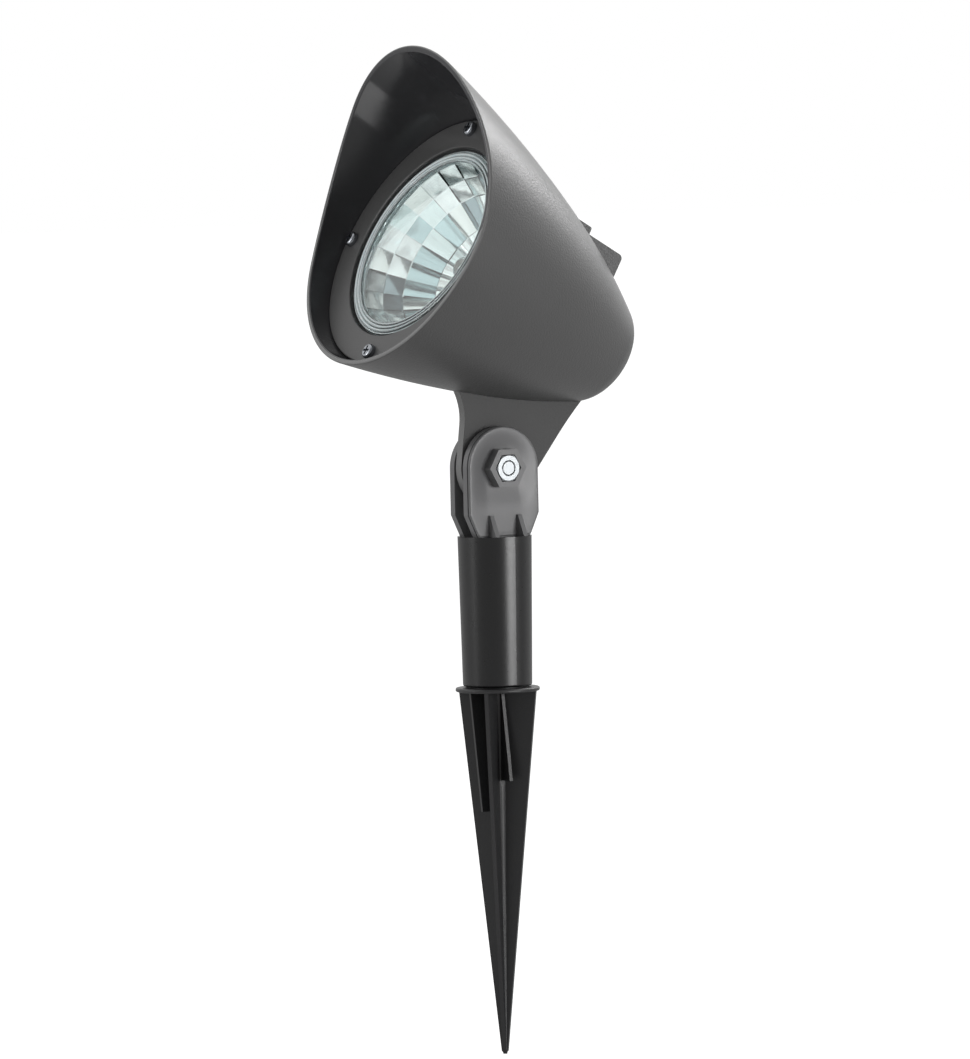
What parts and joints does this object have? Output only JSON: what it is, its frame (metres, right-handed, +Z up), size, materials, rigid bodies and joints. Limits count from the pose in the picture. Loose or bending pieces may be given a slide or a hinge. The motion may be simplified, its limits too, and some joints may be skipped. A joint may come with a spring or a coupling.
{
  "type": "garden spike spotlight",
  "caption": "Hooded reflector lamp that tilts on a bolted clevis, on a tubular stem that turns on a finned ground spike.",
  "frame": {"origin": "on the spike's axis at the ground line, the underside of the collar", "axes": "+Z up along the spike and stem, -Y the way the light is thrown at rest (30 degrees up), +X along the pivot bolt towards its nut"},
  "size_m": [0.0962, 0.1042, 0.3238],
  "materials": {
    "spike_plastic": "moulded, semi-matt black",
    "stem_plastic": "extruded, semi-gloss black",
    "clevis_plastic": "moulded, satin dark grey",
    "zinc_steel": "zinc plated",
    "housing_plastic": "moulded, fine satin grain outside, smooth inside the hood",
    "bezel_plastic": "moulded, satin",
    "black_screw": "blackened steel",
    "seal_rubber": "moulded, matt",
    "clear_glass": "pressed, polished, faint green tint",
    "reflector_aluminium": "pressed facets, polished and anodised mirror-bright",
    "quartz": "frosted tip, clear body",
    "pin_nickel": "nickel plated",
    "holder_ceramic": "unglazed steatite",
    "sleeve": "silicone over glass braid",
    "block_plastic": "natural polyamide",
    "clamp_brass": "machined"
  },
  "bodies": {
    "spike": {"ground_spike": "spike_plastic"},
    "stem": {"stem_tube": "stem_plastic", "clevis_yoke": "clevis_plastic", "pivot_bolt": "zinc_steel", "pivot_washer": "zinc_steel", "pivot_nut": "zinc_steel"},
    "head": {"housing": "housing_plastic", "bezel_ring": "bezel_plastic", "bezel_screws": "black_screw", "glass_gasket": "seal_rubber", "cover_glass": "clear_glass", "reflector": "reflector_aluminium", "lamp_capsule": "quartz", "lamp_pins": "pin_nickel", "lamp_holder": "holder_ceramic", "holder_bracket": "zinc_steel", "holder_screws": "zinc_steel", "lead_wires": "sleeve", "terminal_block": "block_plastic", "terminal_screws": "clamp_brass", "terminal_lid": "housing_plastic", "lid_gasket": "seal_rubber", "lid_screw": "black_screw", "cable_grommet": "seal_rubber"}
  },
  "joints": [
    {"name": "stem_swivel", "type": "hinge", "parent": "spike", "child": "stem", "pos_m": [0, 0, 0.02], "axis": [0, 0, 1], "continuous": true},
    {"name": "head_tilt", "type": "hinge", "parent": "stem", "child": "head", "pos_m": [0, 0, 0.0717], "axis": [-1, 0, 0], "range_deg": [-60, 60]}
  ]
}
